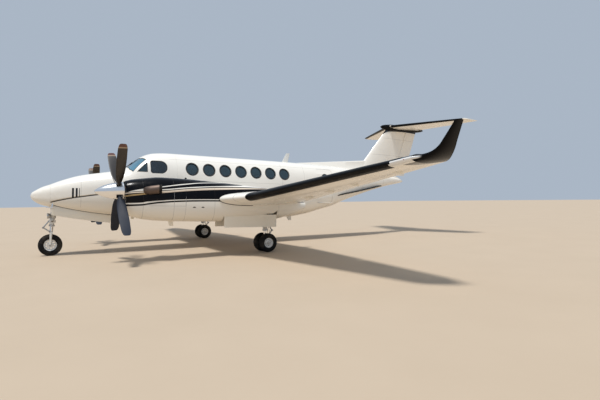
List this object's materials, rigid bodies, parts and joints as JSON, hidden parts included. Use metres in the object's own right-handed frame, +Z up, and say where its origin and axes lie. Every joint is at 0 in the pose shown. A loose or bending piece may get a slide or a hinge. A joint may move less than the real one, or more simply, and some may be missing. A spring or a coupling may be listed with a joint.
{
  "type": "twin turboprop business aeroplane",
  "caption": "Low-wing twin turboprop business aeroplane with a T-tail and winglets, parked on its gear, with turning wheels and propellers, control surfaces and an airstair door.",
  "frame": {"origin": "middle of the bounding box at the ground", "axes": "+Z up, nose towards -Y, port wing towards +X"},
  "size_m": [17.65, 14.2222, 4.3686],
  "materials": {
    "cream_paint": "gloss cream-white paint with dark navy bands",
    "black_paint": "black paint",
    "exhaust_bronze": "heat-stained steel",
    "blade_grey": "matt dark grey with a pale band and red tip",
    "polished_spinner": "polished",
    "gear_white": "white enamel",
    "gear_alloy": "satin",
    "tyre": "black rubber",
    "glass": "tinted",
    "cabin_leather": "tan leather and trim",
    "cockpit_trim": "dark grey"
  },
  "bodies": {
    "airframe": {"radome": "cream_paint", "nose_section": "cream_paint", "cockpit_shell": "cream_paint", "cabin_shell": "cream_paint", "tail_cone": "cream_paint", "fin": "cream_paint", "tailplane": "cream_paint", "wing_centre": "cream_paint", "wing_port": "cream_paint", "wing_starboard": "cream_paint", "nacelle_port": "cream_paint", "nacelle_starboard": "cream_paint", "winglet_port": "black_paint", "winglet_starboard": "black_paint", "tail_bullet": "black_paint", "engine_port": "exhaust_bronze", "engine_starboard": "exhaust_bronze", "nose_leg": "gear_white", "main_leg_port": "gear_white", "main_leg_starboard": "gear_white", "main_door_outer_port": "gear_white", "main_door_outer_starboard": "gear_white", "main_door_inner_port": "gear_white", "main_door_inner_starboard": "gear_white", "nose_door_port": "gear_white", "nose_door_starboard": "gear_white", "windscreen_port": "glass", "windscreen_starboard": "glass", "quarter_window_port": "glass", "quarter_window_starboard": "glass", "cockpit_window_port": "glass", "cockpit_window_starboard": "glass", "cabin_windows_port": "glass", "cabin_windows_starboard": "glass", "cabin_interior": "cabin_leather", "cockpit_interior": "cockpit_trim"},
    "nose_steering_fork": {"nose_fork": "gear_alloy"},
    "nose_wheel": {"nose_rim": "gear_white", "nose_tyre": "tyre"},
    "main_wheels_port": {"main_rims_port": "gear_white", "main_tyre_outboard_port": "tyre", "main_tyre_inboard_port": "tyre"},
    "main_wheels_starboard": {"main_rims_starboard": "gear_white", "main_tyre_outboard_starboard": "tyre", "main_tyre_inboard_starboard": "tyre"},
    "propeller_unit_port": {"propeller_port": "blade_grey", "spinner_port": "polished_spinner"},
    "propeller_unit_starboard": {"propeller_starboard": "blade_grey", "spinner_starboard": "polished_spinner"},
    "rudder_body": {"rudder": "cream_paint"},
    "elevator_body_port": {"elevator_port": "cream_paint"},
    "elevator_body_starboard": {"elevator_starboard": "cream_paint"},
    "aileron_body_port": {"aileron_port": "cream_paint"},
    "aileron_body_starboard": {"aileron_starboard": "cream_paint"},
    "flap_inner_body_port": {"flap_inner_port": "cream_paint"},
    "flap_inner_body_starboard": {"flap_inner_starboard": "cream_paint"},
    "flap_outer_body_port": {"flap_outer_port": "cream_paint"},
    "flap_outer_body_starboard": {"flap_outer_starboard": "cream_paint"},
    "airstair": {"airstair_door": "cream_paint"}
  },
  "joints": [
    {"name": "nose_steering", "type": "hinge", "parent": "airframe", "child": "nose_steering_fork", "pos_m": [0, -6.6451, 0.8], "axis": [0, 0.0926, 0.9957], "range_deg": [-48, 48]},
    {"name": "nose_wheel_spin", "type": "hinge", "parent": "nose_steering_fork", "child": "nose_wheel", "pos_m": [0, -6.686, 0.2795], "axis": [1, 0, 0], "continuous": true},
    {"name": "main_wheels_spin_port", "type": "hinge", "parent": "airframe", "child": "main_wheels_port", "pos_m": [2.615, -1.74, 0.2475], "axis": [1, 0, 0], "continuous": true},
    {"name": "propeller_spin_port", "type": "hinge", "parent": "airframe", "child": "propeller_unit_port", "pos_m": [2.615, -5.37319, 1.62501], "axis": [0, 0.9997, 0.0263], "continuous": true},
    {"name": "main_wheels_spin_starboard", "type": "hinge", "parent": "airframe", "child": "main_wheels_starboard", "pos_m": [-2.615, -1.74, 0.2475], "axis": [1, 0, 0], "continuous": true},
    {"name": "propeller_spin_starboard", "type": "hinge", "parent": "airframe", "child": "propeller_unit_starboard", "pos_m": [-2.615, -5.37319, 1.62501], "axis": [0, 0.9997, 0.0263], "continuous": true},
    {"name": "flap_inner_hinge_port", "type": "hinge", "parent": "airframe", "child": "flap_inner_body_port", "pos_m": [1.48, -1.14068, 1.14671], "axis": [-0.9939, 0.0044, -0.1103], "range_deg": [0, 35]},
    {"name": "flap_inner_hinge_starboard", "type": "hinge", "parent": "airframe", "child": "flap_inner_body_starboard", "pos_m": [-1.48, -1.14068, 1.14671], "axis": [-0.9939, -0.0044, 0.1103], "range_deg": [0, 35]},
    {"name": "flap_outer_hinge_port", "type": "hinge", "parent": "airframe", "child": "flap_outer_body_port", "pos_m": [4.375, -1.2511, 1.47113], "axis": [-0.988, 0.102, -0.1163], "range_deg": [0, 35]},
    {"name": "flap_outer_hinge_starboard", "type": "hinge", "parent": "airframe", "child": "flap_outer_body_starboard", "pos_m": [-4.375, -1.2511, 1.47113], "axis": [-0.988, -0.102, 0.1163], "range_deg": [0, 35]},
    {"name": "aileron_hinge_port", "type": "hinge", "parent": "airframe", "child": "aileron_body_port", "pos_m": [6.96, -1.45387, 1.8018], "axis": [-0.9914, 0.0672, -0.1121], "range_deg": [-20, 20]},
    {"name": "aileron_hinge_starboard", "type": "hinge", "parent": "airframe", "child": "aileron_body_starboard", "pos_m": [-6.96, -1.45387, 1.8018], "axis": [-0.9914, -0.0672, 0.1121], "range_deg": [-20, 20]},
    {"name": "elevator_hinge_port", "type": "hinge", "parent": "airframe", "child": "elevator_body_port", "pos_m": [1.445, 6.44416, 4.22783], "axis": [-0.9843, -0.1762, 0.0107], "range_deg": [-20, 14]},
    {"name": "elevator_hinge_starboard", "type": "hinge", "parent": "airframe", "child": "elevator_body_starboard", "pos_m": [-1.445, 6.44416, 4.22783], "axis": [-0.9843, 0.1762, -0.0107], "range_deg": [-20, 14]},
    {"name": "rudder_hinge", "type": "hinge", "parent": "airframe", "child": "rudder_body", "pos_m": [0, 5.72989, 3.16857], "axis": [0, 0.3614, 0.9324], "range_deg": [-25, 25]},
    {"name": "airstair_hinge", "type": "hinge", "parent": "airframe", "child": "airstair", "pos_m": [0.668, 1.53863, 1.25219], "axis": [0, 0.9996, -0.0297], "range_deg": [0, 125]}
  ],
  "couplings": [
    {"joint": "flap_inner_hinge_starboard", "follows": "flap_inner_hinge_port", "ratio": 1},
    {"joint": "flap_outer_hinge_port", "follows": "flap_inner_hinge_port", "ratio": 1},
    {"joint": "flap_outer_hinge_starboard", "follows": "flap_inner_hinge_port", "ratio": 1},
    {"joint": "aileron_hinge_starboard", "follows": "aileron_hinge_port", "ratio": -1},
    {"joint": "elevator_hinge_starboard", "follows": "elevator_hinge_port", "ratio": 1}
  ]
}
